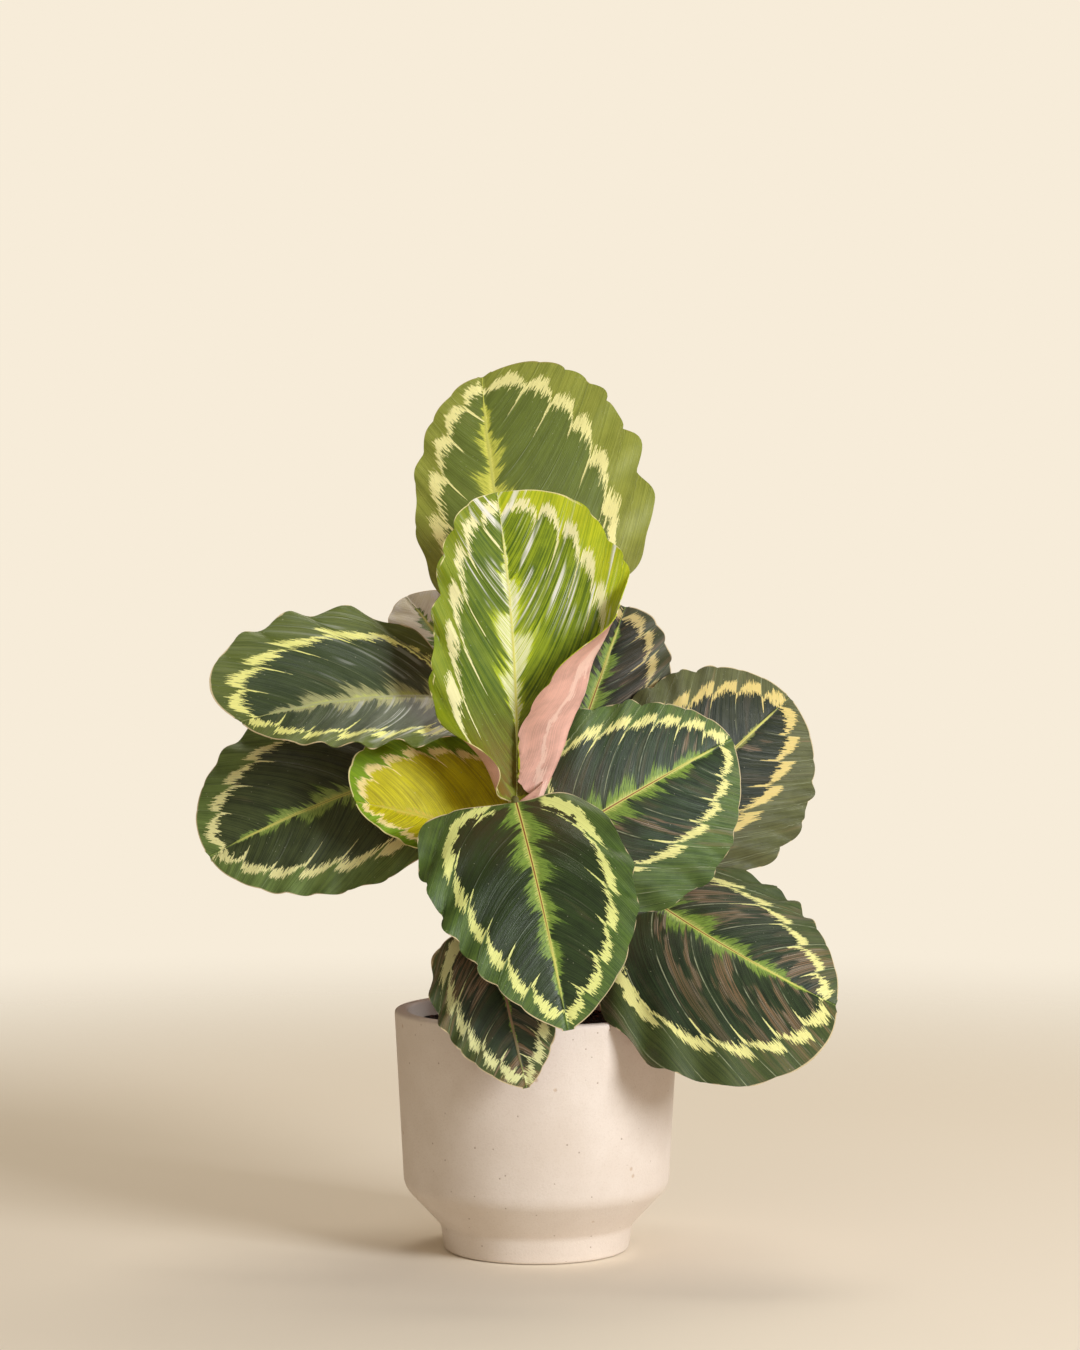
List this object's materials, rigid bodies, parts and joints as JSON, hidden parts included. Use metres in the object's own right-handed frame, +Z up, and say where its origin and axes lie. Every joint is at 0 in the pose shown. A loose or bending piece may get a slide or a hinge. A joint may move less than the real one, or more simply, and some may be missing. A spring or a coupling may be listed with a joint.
{
  "type": "potted calathea",
  "caption": "Potted prayer plant with round, ring-patterned leaves on slim stalks, in a flared stoneware pot with a narrow foot",
  "frame": {"origin": "centre of the pot's flat underside, on the pot's axis", "axes": "+Z up along the pot's axis; -Y towards the side that the plant's best leaves face; +X to the right seen from that side"},
  "size_m": [0.3632, 0.2705, 0.5048],
  "materials": {
    "stoneware": "matt speckled stoneware",
    "soil": null,
    "leaf": null,
    "olive_leaf": "satin olive green leaf with a cream ring",
    "young_leaf": "glossy lime green young leaf with a cream ring",
    "stalk": "satin green-brown stalk"
  },
  "bodies": {
    "root": {"pot": "stoneware", "soil": "soil", "blade_top": "olive_leaf", "stalk_top": "stalk", "blade_young": "young_leaf", "stalk_young": "stalk", "blade_left_high": "leaf", "stalk_left_high": "stalk", "blade_left_low": "leaf", "stalk_left_low": "stalk", "blade_left_young": "young_leaf", "stalk_left_young": "stalk", "blade_front": "leaf", "stalk_front": "stalk", "blade_front_low": "leaf", "stalk_front_low": "stalk", "blade_right_low": "leaf", "stalk_right_low": "stalk", "blade_right": "leaf", "stalk_right": "stalk", "blade_right_back": "leaf", "stalk_right_back": "stalk", "blade_back_right": "leaf", "stalk_back_right": "stalk", "blade_back_left": "leaf", "stalk_back_left": "stalk", "blade_rear": "leaf", "stalk_rear": "stalk", "blade_rear_right": "leaf", "stalk_rear_right": "stalk", "blade_rear_left": "leaf", "stalk_rear_left": "stalk"}
  },
  "joints": []
}
